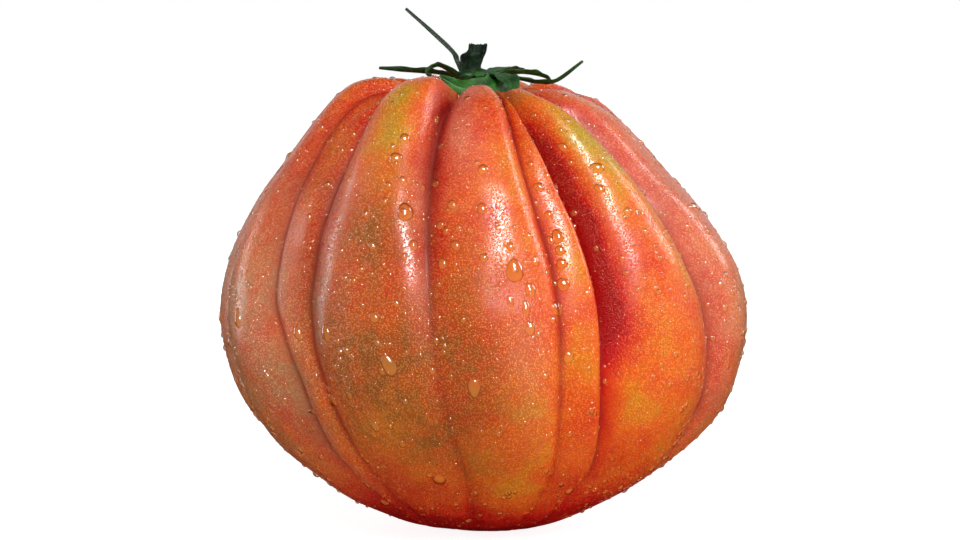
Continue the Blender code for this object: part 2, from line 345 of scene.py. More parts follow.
# The skin, in mm: the crest profile turned about Z, pushed in along its normal by the furrows' depth
# times their nearness, and out by the crest's lift and by soft lumps. Across counts ribs, down runs from
# 0 at the pit to 1 at the base, and what would be below the ground is pressed flat.
def rawSkin(across, down):
    rib, following, share, before, after = furrowsAt(across, down)
    along = down * steps
    fade = smoothStep(along, 0.4, 3.2) * (1 - smoothStep(along, 9.6, 11.6))
    bulge = smoothStep(along, 1.0, 3.5) * (1 - smoothStep(along, 9.7, 11.0))
    furrow = before * np.maximum(depthAt(rib, along), 0)
    furrow += after * np.maximum(depthAt(following, along), 0)
    lift = liftAt(rib, along) * (1 - before) * (1 - after)
    spot, way = curveThrough(crestLine, (along + 1) / (len(crestLine) - 1))
    outward = unit(np.stack([-way[..., 1], way[..., 0]], -1))
    start, end = azimuthAt(rib, along), nextAzimuthAt(rib, along)
    angle = np.radians(start + share * (end - start))
    sine, cosine = np.sin(angle), -np.cos(angle)
    plain = np.stack([spot[..., 0] * sine, spot[..., 0] * cosine, spot[..., 1]], -1)
    lumps = softNoise(plain, tomato["lumpSize"], 3) * tomato["lumpHeight"] * smoothStep(along, 0.5, 2.5)
    moved = spot - (furrow * fade - lift * bulge - lumps)[..., None] * outward
    height = np.maximum(moved[..., 1], 0)
    lean = tomato["lean"] * smoothStep(height, 0.25 * tomato["shoulderHeight"], tomato["shoulderHeight"])
    return np.stack([moved[..., 0] * sine - lean, moved[..., 0] * cosine, height], -1)


columns = ribCount * tomato["facesAcrossRib"]
acrossLine = np.linspace(0, ribCount, columns, endpoint=False)
acrossLine -= tomato["gathering"] * np.sin(2 * math.pi * acrossLine) / (2 * math.pi)
downLine = np.linspace(0, 1, tomato["rows"] + 1)
acrossGrid, downGrid = np.meshgrid(acrossLine, downLine)
rawGrid = rawSkin(acrossGrid, downGrid)
rawLow, rawHigh = rawGrid.reshape(-1, 3).min(0), rawGrid.reshape(-1, 3).max(0)
fit = (fruitHigh - fruitLow) / (rawHigh - rawLow)


# the skin in metres, fitted into the fruit's box in the frame
def skin(across, down):
    return (rawSkin(across, down) - rawLow) * fit + fruitLow


# a place's ways across and down the skin, per rib and per whole height, and its outward normal
def skinWays(across, down):
    step = 0.002
    acrossWay = (skin(across + step, down) - skin(across - step, down)) / (2 * step)
    downWay = (skin(across, down + step) - skin(across, down - step)) / (2 * step)
    return acrossWay, downWay, unit(np.cross(downWay, acrossWay))


# Patches of colour on the ribs: middle across and down, half sizes, and how much is added there
colourPatches = {
    "ripeness": [  # above 0 towards gold, below towards deep red; the deep red ones in the valleys and beside the furrows are painted shade over the skin's own deeper red
        (2.60, 0.35, 0.30, 0.07, 0.50),
        (5.55, 0.38, 0.24, 0.08, 0.50),
        (5.78, 0.47, 0.12, 0.10, 0.30),
        (3.75, 0.41, 0.30, 0.06, 0.12),
        (4.40, 0.44, 0.50, 0.08, 0.12),
        (3.60, 0.76, 0.50, 0.08, 0.18),
        (2.50, 0.68, 0.45, 0.10, 0.12),
        (5.08, 0.48, 0.11, 0.15, -0.80),
        (5.15, 0.40, 0.09, 0.06, -0.60),
        (4.30, 0.60, 0.45, 0.14, 0.14),
        (5.20, 0.66, 0.28, 0.10, 0.22),
        (1.90, 0.46, 0.25, 0.10, -0.25),
        (3.05, 0.42, 0.16, 0.14, -0.30),
        (3.45, 0.36, 0.40, 0.06, -0.12),
        (6.05, 0.38, 0.16, 0.12, -0.30),
        (2.20, 0.50, 0.40, 0.10, -0.08),
        (8.50, 0.40, 0.35, 0.08, 0.45),
        (11.5, 0.38, 0.35, 0.07, 0.40),
        (10.2, 0.70, 0.60, 0.10, 0.20),
    ],
    "tan": [  # a dull pale tan on the side ribs: a duller skin colour with a painted sheen of haze on it
        (0.70, 0.63, 1.10, 0.17, 0.80),
        (-0.4, 0.60, 0.80, 0.25, 0.65),
        (6.50, 0.62, 0.60, 0.20, 0.70),
        (9.50, 0.65, 1.20, 0.20, 0.40),
        (12.2, 0.60, 1.20, 0.22, 0.50),
    ],
    "olive": [  # brown with some green in it
        (2.45, 0.60, 0.50, 0.16, 0.75),
        (3.15, 0.66, 0.50, 0.14, 0.85),
        (1.30, 0.44, 0.40, 0.14, 0.55),
        (1.82, 0.46, 0.22, 0.10, 0.60),
        (2.68, 0.51, 0.28, 0.08, 0.30),
        (1.95, 0.66, 0.50, 0.14, 0.40),
        (0.20, 0.72, 0.60, 0.08, 0.40),
        (8.80, 0.62, 0.70, 0.14, 0.50),
        (11.0, 0.60, 0.80, 0.14, 0.50),
    ],
    "paintedSheen": [  # painted sheen: a pale pinkish haze that stands in for the broad reflection of the white light
        (6.25, 0.47, 0.32, 0.16, 0.50),
        (3.32, 0.37, 0.20, 0.08, 0.50),
        (2.93, 0.46, 0.08, 0.12, 0.35),
        (3.75, 0.62, 0.20, 0.08, 0.30),
        (2.20, 0.42, 0.30, 0.08, 0.35),
        (5.93, 0.46, 0.06, 0.12, 0.50),
        (-0.1, 0.55, 0.20, 0.20, 0.40),
        (7.50, 0.50, 0.50, 0.20, 0.40),
        (10.4, 0.45, 0.40, 0.20, 0.40),
    ],
}


# adds up bell-shaped patches, round the fruit as well as across the seam
def patchSum(patches, across, down):
    total = np.zeros_like(across)
    for middle, place, wide, tall, amount in patches:
        away = (across - middle + ribCount / 2) % ribCount - ribCount / 2
        total += amount * np.exp(-((away / wide) ** 2) - ((down - place) / tall) ** 2)
    return total


skinLook = {
    "colours": [  # by ripeness, from deep red to olive gold
        (0.00, (0.42, 0.001, 0.001)), (0.20, (0.62, 0.005, 0.001)), (0.42, (0.74, 0.052, 0.002)),
        (0.60, (0.82, 0.125, 0.003)), (0.80, (0.72, 0.250, 0.004)), (1.00, (0.52, 0.310, 0.010)),
    ],
    "plainRipeness": 0.48,  # where there is no patch
    # tan is a duller skin colour with a painted sheen on it
    "tan": (0.47, 0.200, 0.085),
    "olive": (0.31, 0.082, 0.008),
    # the painted sheen's pale pink, standing in for the reflection of white light
    "paintedSheen": (0.76, 0.260, 0.165),
    # the crease colour is painted shade along a furrow's bottom
    "crease": (0.10, 0.002, 0.001),
    "creaseWidth": 0.85,  # in degrees round the fruit
    # painted light: seen through a drop the skin is tinted lighter and golden, for the light the drop
    # focuses on it
    "paintedDropLight": (1.0, 0.42, 0.08),
    "paintedDropLightShare": 0.26,
    "noises": {"broad": 110.0, "small": 420.0, "grain": 2600.0},  # scales, per metre
    # beads per metre, a bead's size as a share of its cell, and the share of cells that hold one
    "fineBeads": (3300.0, 0.50, 1.00),
    "coarseBeads": (1500.0, 0.28, 0.30),
    "heights": {"fine": 0.10, "coarse": 0.16, "grain": 0.02},  # of the beads and the grain, in mm
    "paintedBeadGlint": (1.7, 2.1, 2.4),  # painted glint: how much lighter the skin is drawn in a bead
    # the painted glints' golden tint, and how much of it
    "beadGlintTint": (1.0, 0.58, 0.10),
    "beadGlintTintShare": 0.20,
    "shadeBetweenBeads": (0.82, 0.78, 0.75),  # painted shade: how much darker it is drawn between them
}


# by place: the ripeness, the shares of tan with its painted sheen, olive and the pale painted sheen, how
# deep in a furrow, how free of beads, and the narrow crease at a furrow's bottom that carries painted
# shade, a bell curve of the angle away from it
def skinValues(across, down, points):
    rib, following, share, before, after = furrowsAt(across, down)
    along = down * steps
    depth = np.where(before > after, depthAt(rib, along), depthAt(following, along))
    band = smoothStep(along, 1.5, 3.5) * (1 - smoothStep(along, 9.0, 11.0))
    # deeper in a furrow the skin is drawn a darker, deeper red: painted shade in the recess over its own
    # deeper colour
    furrow = np.maximum(before, after) ** 2.2 * band * np.clip(depth / 4, 0.25, 1.6)
    foot = smoothStep(along, 9.7, 10.7)
    ribWidth = nextAzimuthAt(rib, along) - azimuthAt(rib, along)
    away = np.minimum(share, 1 - share) * ribWidth  # in degrees
    crease = np.exp(-((away / skinLook["creaseWidth"]) ** 2)) * band * np.clip(depth / 2.0, 0, 1)
    values = {
        "furrow": np.clip(furrow, 0, 1.5),
        "bare": np.clip(0.9 * furrow + 0.7 * foot, 0, 1),
        "crease": crease,
    }
    for number, (label, patches) in enumerate(colourPatches.items()):
        values[label] = patchSum(patches, across, down)
        values[label] *= 1 + 0.25 * softNoise(points / mm, 16, 12 + number)
    plain = skinLook["plainRipeness"]
    # towards the foot the red is drawn deeper and darker: mostly painted shade of the underside, partly
    # the skin's own deeper red
    values["ripeness"] += plain + 0.06 * softNoise(points / mm, 22, 11) - 0.5 * foot
    for label in ("tan", "olive", "paintedSheen"):
        values[label] = np.clip(values[label], 0, 1) * (1 - 0.8 * foot)
    return values


def makeSkinMaterial():
    material, tree, shader = newMaterial(
        "tomatoSkin",
        IOR=1.45,
        Subsurface_Weight=0.25,
        Subsurface_Scale=0.003,
        Subsurface_Radius=(1.0, 0.25, 0.1),
        Coat_Roughness=0.26,
        Specular_IOR_Level=0.2,
    )
    place = node(tree, "ShaderNodeTexCoord").outputs["Object"]
    broad = noiseOn(tree, place, skinLook["noises"]["broad"], 4.0, 0.55)
    small = noiseOn(tree, place, skinLook["noises"]["small"], 4.0, 0.6)
    grain = noiseOn(tree, place, skinLook["noises"]["grain"])
    throughWater = node(tree, "ShaderNodeLightPath").outputs["Is Transmission Ray"]
    dry = calculate(tree, "SUBTRACT", 1.0, throughWater)
    broadShift = rangeOf(tree, broad, 0.3, 0.7, -0.11, 0.11)
    smallShift = rangeOf(tree, small, 0.25, 0.75, -0.06, 0.06)
    ripe = calculate(tree, "ADD", valueOf(tree, "ripeness"), broadShift)
    ripe = calculate(tree, "ADD", ripe, smallShift)
    # painted shade: the red deepens and darkens with how deep in a furrow a place lies
    furrowShade = calculate(tree, "MULTIPLY", valueOf(tree, "furrow"), 0.38)
    ripe = calculate(tree, "SUBTRACT", ripe, furrowShade, clamp=True)
    crease = valueOf(tree, "crease")
    ramp = node(tree, "ShaderNodeValToRGB", {"Fac": ripe})
    while len(ramp.color_ramp.elements) < len(skinLook["colours"]):
        ramp.color_ramp.elements.new(0.5)
    for element, (position, colour) in zip(ramp.color_ramp.elements, skinLook["colours"]):
        element.position = position
        element.color = (*colour, 1)
    patchy = rangeOf(tree, small, 0.3, 0.7, 0.6, 1.1)
    colour = ramp.outputs["Color"]
    for label in ("tan", "olive", "paintedSheen"):
        share = calculate(tree, "MULTIPLY", valueOf(tree, label), patchy)
        colour = mixColours(tree, share, colour, (*skinLook[label], 1))
    fine = beadsOn(tree, place, *skinLook["fineBeads"])
    coarse = beadsOn(tree, place, *skinLook["coarseBeads"])
    beads = calculate(tree, "MAXIMUM", fine["Mask"], coarse["Mask"])
    beads = calculate(tree, "MULTIPLY", beads, rangeOf(tree, valueOf(tree, "bare"), 0.0, 0.9, 0.75, 0.0))
    beads = calculate(tree, "MULTIPLY", beads, dry)
    # painted glints and shade: lighter and golden in the beads, darker between them
    beadGlint = mixColours(tree, 1.0, colour, (*skinLook["paintedBeadGlint"], 1), "MULTIPLY")
    beadGlint = mixColours(tree, skinLook["beadGlintTintShare"], beadGlint, (*skinLook["beadGlintTint"], 1))
    colour = mixColours(tree, 1.0, colour, (*skinLook["shadeBetweenBeads"], 1), "MULTIPLY")
    colour = mixColours(tree, beads, colour, beadGlint)
    # painted shade: the crease at a furrow's bottom is drawn darker
    creased = calculate(tree, "MULTIPLY", crease, 0.5)
    colour = mixColours(tree, creased, colour, (*skinLook["crease"], 1))
    # painted light under the drops: the skin seen through water is lighter and golden
    wetWithPaintedLight = mixColours(tree, skinLook["paintedDropLightShare"], colour, (*skinLook["paintedDropLight"], 1))
    colour = mixColours(tree, dry, wetWithPaintedLight, colour)
    tree.links.new(colour, shader.inputs["Base Color"])
    rough = rangeOf(tree, grain, 0.3, 0.7, 0.24, 0.38)
    rough = calculate(tree, "MAXIMUM", rough, calculate(tree, "SUBTRACT", 0.9, dry))
    rough = calculate(tree, "MAXIMUM", rough, calculate(tree, "MULTIPLY", crease, 0.8))
    tree.links.new(rough, shader.inputs["Roughness"])
    glossy = calculate(tree, "MULTIPLY", dry, rangeOf(tree, valueOf(tree, "bare"), 0.0, 1.0, 0.60, 0.05))
    glossy = calculate(tree, "MULTIPLY", glossy, calculate(tree, "SUBTRACT", 1.0, crease))
    tree.links.new(glossy, shader.inputs["Coat Weight"])
    heights = skinLook["heights"]
    total = calculate(tree, "MULTIPLY", fine["Height"], heights["fine"])
    for height, label in ((coarse["Height"], "coarse"), (grain, "grain")):
        total = calculate(tree, "ADD", total, calculate(tree, "MULTIPLY", height, heights[label]))
    strength = calculate(tree, "MULTIPLY", dry, rangeOf(tree, valueOf(tree, "bare"), 0.0, 1.0, 0.9, 0.3))
    bump = node(tree, "ShaderNodeBump", {"Height": total, "Distance": mm, "Strength": strength})
    tree.links.new(bump.outputs["Normal"], shader.inputs["Normal"])
    tree.links.new(bump.outputs["Normal"], shader.inputs["Coat Normal"])
    return material


def makeFruit():
    inner = slice(1, -1)
    poles = skin(np.zeros(2), np.array([0.0, 1.0]))
    points, faces = closedTube(skin(acrossGrid[inner], downGrid[inner]), poles)
    acrossAll = np.append(acrossGrid[inner].ravel(), (0, 0))
    downAll = np.append(downGrid[inner].ravel(), (0, 1))
    values = skinValues(acrossAll, downAll, points)
    fruit = addPiece("tomatoFruit", points, faces, makeSkinMaterial(), values)
    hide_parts("fruit")


makeFruit()
print("fruit made")

# Water on the skin. Each kind has its number, its range of radius in mm, how finely a drop is faceted,
# and a drop's height as a share of its radius.
water = {
    "mist": {"count": 7000, "radius": (0.10, 0.26), "sides": 6, "rings": 2, "height": 0.75},
    "droplets": {"count": 1500, "radius": (0.26, 0.60), "sides": 12, "rings": 5, "height": 0.72},
    "drops": {"count": 50, "radius": (0.55, 0.85), "sides": 28, "rings": 10, "height": 0.62},
    # the colour of the painted dark outline, standing in for the dark reflection at a drop's edge, and
    # where it starts and is full, from 0 for facing to 1 for turned away
    "clearPaintedRim": ((0.20, 0.04, 0.010), (0.20, 0.50)),
    "mistPaintedRim": ((0.60, 0.28, 0.14), (0.35, 0.85)),
    "sag": 0.16,  # how far a drop's top hangs downhill, as a share of its radius
    "sink": 0.05,  # how deep its rim lies in the skin
    # the largest drops on the front: across, down, radius in mm, length to width
    "placed": [
        (2.85, 0.475, 1.35, 1.30), (2.72, 0.415, 1.05, 1.15), (2.76, 0.390, 1.00, 1.00),
        (2.91, 0.508, 0.80, 1.10), (2.81, 0.440, 0.65, 1.10), (2.70, 0.448, 0.65, 1.00),
        (3.07, 0.432, 0.90, 1.00), (3.09, 0.382, 0.70, 1.00), (3.12, 0.484, 0.80, 1.10),
        (3.28, 0.490, 0.65, 1.00), (3.24, 0.464, 0.85, 1.10), (3.24, 0.508, 0.90, 1.10),
        (3.12, 0.525, 0.90, 1.10), (3.50, 0.472, 0.90, 1.10), (3.45, 0.522, 0.75, 1.10),
        (3.56, 0.428, 0.90, 1.10), (3.67, 0.512, 0.70, 1.15), (3.67, 0.534, 1.40, 1.45),
        (3.77, 0.552, 0.80, 1.80), (3.61, 0.562, 0.55, 1.70), (3.72, 0.570, 0.65, 2.20),
        (3.74, 0.590, 0.90, 1.20), (3.85, 0.525, 0.60, 1.40), (3.85, 0.500, 0.60, 1.00),
        (4.28, 0.440, 0.85, 1.10), (4.28, 0.472, 0.75, 1.00), (4.30, 0.497, 1.05, 1.20),
        (4.26, 0.512, 0.90, 1.00), (4.22, 0.525, 0.90, 1.00), (4.16, 0.545, 1.00, 1.20),
        (4.00, 0.569, 1.15, 1.05), (5.44, 0.424, 1.10, 1.05), (5.35, 0.446, 0.70, 1.40),
        (5.46, 0.476, 0.70, 1.00), (2.67, 0.632, 1.25, 1.50), (3.28, 0.656, 1.10, 1.50),
        (2.19, 0.600, 0.90, 1.60), (0.56, 0.596, 0.95, 1.70), (1.56, 0.604, 0.80, 1.40),
        (2.61, 0.512, 0.65, 1.20), (4.15, 0.624, 0.85, 1.20), (2.76, 0.780, 1.10, 1.20),
        (2.00, 0.688, 0.90, 1.30), (2.40, 0.708, 0.80, 1.20),
    ],
}


# clear in the middle, with painted shade above so the lower side reads brighter, and a painted dark
# outline where the drop turns away, for its dark reflection there
def makeWaterMaterial(name, outline, reach):
    material, tree, shader = newMaterial(
        name,
        IOR=1.33,
        Transmission_Weight=1.0,
        Roughness=0.02,
        Coat_Weight=1.0,
        Coat_IOR=1.7,
        Coat_Roughness=0.03,
    )
    facing = node(tree, "ShaderNodeLayerWeight", {"Blend": 0.5}).outputs["Facing"]
    normal = node(tree, "ShaderNodeNewGeometry").outputs["Normal"]
    upward = node(tree, "ShaderNodeSeparateXYZ", {0: normal}).outputs["Z"]
    shaded = rangeOf(tree, upward, -0.3, 0.8)
    colour = mixColours(tree, shaded, (1.0, 1.0, 1.0, 1), (0.78, 0.68, 0.60, 1))
    colour = mixColours(tree, rangeOf(tree, facing, *reach), colour, (*outline, 1))
    tree.links.new(colour, shader.inputs["Base Color"])
    return material


# random places spread over the skin's area, from the rim down to above the foot, with few in the furrows
def scatter(count, rng):
    grid = skin(acrossGrid, downGrid)
    east = np.roll(grid, -1, 1) - grid
    south = grid[1:] - grid[:-1]
    area = np.linalg.norm(np.cross(east[:-1], south), axis=-1)
    area *= (downGrid[:-1] > 0.16) & (downGrid[:-1] < 0.90)
    area *= 1 - 0.85 * skinValues(acrossGrid, downGrid, grid)["bare"][:-1]
    chosen = rng.choice(area.size, count, p=(area / area.sum()).ravel())
    row, column = np.divmod(chosen, columns)
    width = np.roll(acrossLine, -1) - acrossLine
    width[-1] += ribCount
    across = acrossLine[column] + rng.random(count) * width[column]
    down = downLine[row] + rng.random(count) / tomato["rows"]
    return across, down


# A drop is a dome on the skin: rings of points at a distance and an angle round its middle, carried
# along the skin and lifted along the normal by a quarter circle, its top pushed downhill, its rim under
# the skin, and a point below to close it.
def makeDrops(name, across, down, radius, length, kind, material):
    sides, rings = kind["sides"], kind["rings"]
    angle = np.arange(sides) * (2 * math.pi / sides)
    polar = np.arange(1, rings + 1) / rings * (math.pi / 2)
    reach = np.sin(polar)[:, None] * np.ones(sides)
    rise = np.cos(polar)[:, None] * np.ones(sides)
    rng = np.random.default_rng(len(name) + sides)
    phase = rng.uniform(0, 2 * math.pi, (2, len(across), 1, 1))
    outline = 1 + 0.07 * np.sin(2 * angle + phase[0]) + 0.05 * np.sin(3 * angle + phase[1])
    sideways = reach * np.cos(angle) * outline
    stretch = length[:, None, None]
    downhill = reach * np.sin(angle) * outline * stretch + water["sag"] * rise * stretch
    acrossWay, downWay, normal = skinWays(across, down)
    perAcross = radius / np.linalg.norm(acrossWay, axis=-1)
    perDown = radius / np.linalg.norm(downWay, axis=-1)
    ringAcross = across[:, None, None] + sideways * perAcross[:, None, None]
    ringDown = down[:, None, None] + downhill * perDown[:, None, None]
    lift = (rise * (kind["height"] + water["sink"]) - water["sink"]) * radius[:, None, None]
    dome = skin(ringAcross, ringDown) + lift[..., None] * normal[:, None, None]
    topDown = down + water["sag"] * length * perDown
    top = skin(across, topDown) + (kind["height"] * radius)[:, None] * normal
    bottom = skin(across, down) - (2 * water["sink"] * radius)[:, None] * normal
    each = rings * sides + 2
    points = np.concatenate([dome.reshape(len(across), -1, 3), top[:, None], bottom[:, None]], 1)
    start = (np.arange(len(across)) * each)[:, None, None]
    ring = np.arange(sides)
    quads = gridFaces(rings, sides)[None, :, ::-1] + start
    caps = np.vstack([
        fanFaces(rings * sides, ring, turned=True),
        fanFaces(rings * sides + 1, ring + (rings - 1) * sides),
    ])[None] + start
    faces = [quads.reshape(-1, 4), caps.reshape(-1, 3)]
    drops = addPiece(name, points.reshape(-1, 3), faces, material)
    drops.visible_shadow = drops.visible_diffuse = drops.visible_glossy = False


waterMaterial = makeWaterMaterial("water", *water["clearPaintedRim"])
mistMaterial = makeWaterMaterial("waterMist", *water["mistPaintedRim"])
waterRng = np.random.default_rng(21)
for label in ("mist", "droplets", "drops"):
    kind = water[label]
    across, down = scatter(kind["count"], waterRng)
    low, high = kind["radius"]
    radius = (low + (high - low) * waterRng.random(kind["count"]) ** 2) * mm
    length = 1 + 0.3 * waterRng.random(kind["count"])
    material = mistMaterial if label == "mist" else waterMaterial
    makeDrops(label + "1", across, down, radius, length, kind, material)
across, down, radius, length = np.array(water["placed"]).T
makeDrops("largeDrops", across, down, radius * mm, length, water["drops"], waterMaterial)
print("water made")

# Sepals: azimuth of the root in degrees, width in mm, turn at the tip in degrees, how green and light it
# is, partly its own tone and partly painted light, the lit front sepal lighter and the shaded ones
# darker, and the spine beyond the root in mm from the middle of the disc's top
sepals = {
    "Front": (
        12, 5.2, -62, 0.42,
        [(3.4, -5.8, -2.2), (1.8, -8.0, -3.1), (-2.4, -8.7, -3.0), (-6.1, -7.8, -1.0)],
    ),
    "Drop": (
        46, 4.6, 15, 0.16,
        [(5.0, -6.4, -1.4), (6.2, -9.6, -2.7), (5.4, -12.4, -4.6)],
    ),
    "Sweep": (
        80, 3.0, -15, 0.2,
        [(7.5, -2.4, -1.5), (10.7, -4.3, -2.1), (14.1, -5.4, -1.8), (18.5, -6.2, 1.5)],
    ),
    "Right": (
        113, 3.6, -20, 0.3,
        [(7.1, 2.0, -0.5), (10.1, 2.2, -0.7), (12.5, 1.8, -1.4), (13.3, 1.4, -2.4)],
    ),
    "BackRight": (
        148, 3.4, 0, 0.3,
        [(4.7, 7.6, -0.1), (7.5, 12.2, -0.1), (8.9, 16.6, -0.7)],
    ),
    "BackLeft": (
        184, 3.4, 0, 0.3,
        [(-0.9, 8.4, 0.0), (-1.9, 12.8, 0.7), (-2.9, 17.0, 0.5)],
    ),
    "Tall": (
        220, 1.1, 0, 0.0,
        [(-3.2, 4.5, 1.3), (-4.1, 4.6, 3.1), (-7.9, 5.3, 6.7), (-12.3, 6.0, 10.6)],
    ),
    "Left": (
        258, 3.2, 40, 0.10,
        [(-6.9, 1.6, -0.5), (-10.1, 2.2, -0.3), (-16.9, 3.2, 0.2)],
    ),
    "Curl": (
        298, 3.2, 0, 0.15,
        [(-5.9, -2.8, 0.7), (-7.5, -3.2, 0.5), (-8.2, -3.4, -0.6), (-7.0, -3.6, -1.4)],
    ),
}
leaf = {
    "nodes": {
        "Front": "sepal_front", "Drop": "sepal_drop", "Sweep": "sepal_sweep", "Right": "sepal_right",
        "BackRight": "sepal_back_right", "BackLeft": "sepal_back_left", "Tall": "sepal_tall",
        "Left": "sepal_left", "Curl": "sepal_curl",
    },
    "rootRadius": 3.2,  # mm from the disc's middle: the blades grow out of the disc
    "rootDepth": 1.1,  # mm below the disc's top
    "thickness": 0.34,  # half of the blade's
    "tip": 0.28,  # half the width of the blunt tip
    "rows": 72,
    "columns": 32,
    # the dark and light places of a blade, each as its darkest and its lightest sepal has them
    "dark": ((0.001, 0.006, 0.002), (0.012, 0.100, 0.006)),
    "light": ((0.004, 0.030, 0.005), (0.050, 0.340, 0.020)),
    "under": (0.02, 0.06, 0.015),
    "growthScale": 420.0,
    "hairs": 130,
}


# the ways across and out of a blade along its spine: the first one is level, each row turns with the
# spine, and the turn is shared out along it
def spineFrames(points, rows, turn):
    places = np.linspace(0, 1, rows)
    spots, ways = curveThrough(points, places)
    ways = unit(ways)
    flat = unit(np.array([ways[0, 0], ways[0, 1], 0]))
    across = [np.array([-flat[1], flat[0], 0])]
    for way in ways[1:]:
        across.append(unit(across[-1] - (across[-1] @ way) * way))
    across = np.array(across)
    out = np.cross(ways, across)
    angle = np.radians(turn * places)[:, None]
    turned = across * np.cos(angle) + out * np.sin(angle)
    return places, spots, turned, np.cross(ways, turned)


# A blade: at each place along the spine a flat oval, widest near the root, with folded and waving edges
# and a sunk midrib on its upper side
def bladeGrid(points, width, turn, seed):
    places, spots, across, out = spineFrames(points, leaf["rows"], turn)
    angle = np.linspace(0, 2 * math.pi, leaf["columns"], endpoint=False)
    side = np.cos(angle)
    place = places[:, None]
    taper = (1 - 0.45 * (1 - place) ** 5) * np.clip(1 - place**1.7, 0, 1) ** 0.8
    halfWidth = leaf["tip"] + (width / 2 - leaf["tip"]) * taper
    wavy = 0.10 * np.sin(place * 15 + seed) + 0.06 * np.sin(place * 31 + 2 * seed)
    fold = halfWidth * (0.26 * side**2 + wavy * np.abs(side) ** 3 * np.sign(side))
    thick = leaf["thickness"] * (0.6 + 0.4 * taper) * (1 + 0.8 * (1 - place) ** 6)
    midrib = 0.10 * np.exp(-((side / 0.16) ** 2)) * (np.sin(angle) > 0) * taper
    height = fold + thick * np.sin(angle) * (1 - 0.45 * side**4) - midrib
    reach = halfWidth * side * (1 + 0.05 * np.sin(place * 23 + 3 * seed))
    grid = spots[:, None] + reach[..., None] * across[:, None] + height[..., None] * out[:, None]
    branch = (np.abs(side) * 1.6 - place * 7) % 1 - 0.5  # side veins slanting to the tip
    vein = np.exp(-((side / 0.13) ** 2)) + 0.4 * np.exp(-((branch / 0.12) ** 2))
    under = (np.sin(angle) < 0) * np.ones_like(place)
    return grid, vein * np.ones_like(place), under


# a colour between two, by the share of the second
def between(colours, share):
    return tuple(low + (high - low) * share for low, high in zip(*colours))


# a sepal's colour lies between the darkest and the lightest by its tone, which also holds painted light:
# the lit front sepal is drawn lighter and the shaded ones darker
def makeLeafMaterial(name, toneAndPaintedLight):
    material, tree, shader = newMaterial(
        name, Subsurface_Weight=0.05, Subsurface_Scale=0.0006, Specular_IOR_Level=0.3
    )
    place = node(tree, "ShaderNodeTexCoord").outputs["Object"]
    growth = growthOn(tree, place, leaf["growthScale"])
    dark, light = between(leaf["dark"], toneAndPaintedLight), between(leaf["light"], toneAndPaintedLight)
    colour = mixColours(tree, growth["Share"], (*dark, 1), (*light, 1))
    veins = calculate(tree, "MULTIPLY", valueOf(tree, "vein"), 0.35, clamp=True)
    colour = mixColours(tree, veins, colour, (*(1.6 * part for part in light), 1))
    pale = calculate(tree, "MULTIPLY", valueOf(tree, "under"), 0.3)
    colour = mixColours(tree, pale, colour, (*leaf["under"], 1))
    tree.links.new(colour, shader.inputs["Base Color"])
    rough = rangeOf(tree, growth["Height"], 0.6, 1.4, 0.42, 0.68)
    tree.links.new(rough, shader.inputs["Roughness"])
    height = calculate(tree, "SUBTRACT", growth["Height"], valueOf(tree, "vein"))
    bump = node(tree, "ShaderNodeBump", {"Height": height, "Distance": 0.00012, "Strength": 0.6})
    tree.links.new(bump.outputs["Normal"], shader.inputs["Normal"])
    return material


hairRoots, hairWays = [], []


# remembers random places on a grid of points, with their outward ways, to grow hairs from
def seedHairs(grid, count, rng):
    eastWay = np.roll(grid, -1, 1) - np.roll(grid, 1, 1)
    downWay = np.gradient(grid, axis=0)
    normals = unit(np.cross(downWay, eastWay))
    area = np.linalg.norm(np.cross(downWay, eastWay), axis=-1)
    chosen = rng.choice(area.size, count, p=(area / area.sum()).ravel())
    hairRoots.append(grid.reshape(-1, 3)[chosen])
    hairWays.append(normals.reshape(-1, 3)[chosen])


hairRng = np.random.default_rng(5)
for number, (label, (azimuth, width, turn, toneAndPaintedLight, spine)) in enumerate(sepals.items()):
    angle = math.radians(azimuth)
    rootRadius = leaf["rootRadius"]
    root = (rootRadius * math.sin(angle), -rootRadius * math.cos(angle), -leaf["rootDepth"])
    points = calyxCentre / mm + np.array([root] + spine)
    grid, vein, under = bladeGrid(points, width, turn, number)
    grid = grid[:, ::-1] * mm  # turned round, so that the faces point out
    tubePoints, faces = closedTube(grid)
    values = {
        "vein": np.append(vein[:, ::-1].ravel(), (0, 0)),
        "under": np.append(under[:, ::-1].ravel(), (0, 0)),
    }
    material = makeLeafMaterial("leaf" + label, toneAndPaintedLight)
    blade = addPiece("sepal" + label, tubePoints, faces, material, values)
    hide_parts(leaf["nodes"][label])
    seedHairs(grid, leaf["hairs"], hairRng)
print("sepals made")

# The stem: middle and radius in mm from the disc's top, from the foot over the knuckle to the broken end
stalk = {
    "points": [
        (-0.80, 0.0, -0.3, 1.95), (-0.80, 0.0, 0.6, 1.80), (-0.70, 0.0, 1.6, 1.84),
        (-0.50, 0.0, 2.5, 2.02), (0.05, 0.0, 3.05, 1.70), (0.28, 0.0, 3.6, 1.56),
        (0.42, 0.0, 4.35, 1.58),
    ],
    "ridges": 7,
    "rows": 60,
    "columns": 56,
    "endRows": 10,
    "dark": (0.001, 0.005, 0.002),
    "light": (0.005, 0.022, 0.005),
    "broken": (0.05, 0.045, 0.02),
    "brokenShare": 0.8,  # how much of the end shows that colour
    "growthScale": 500.0,
    "hairs": 160,
}


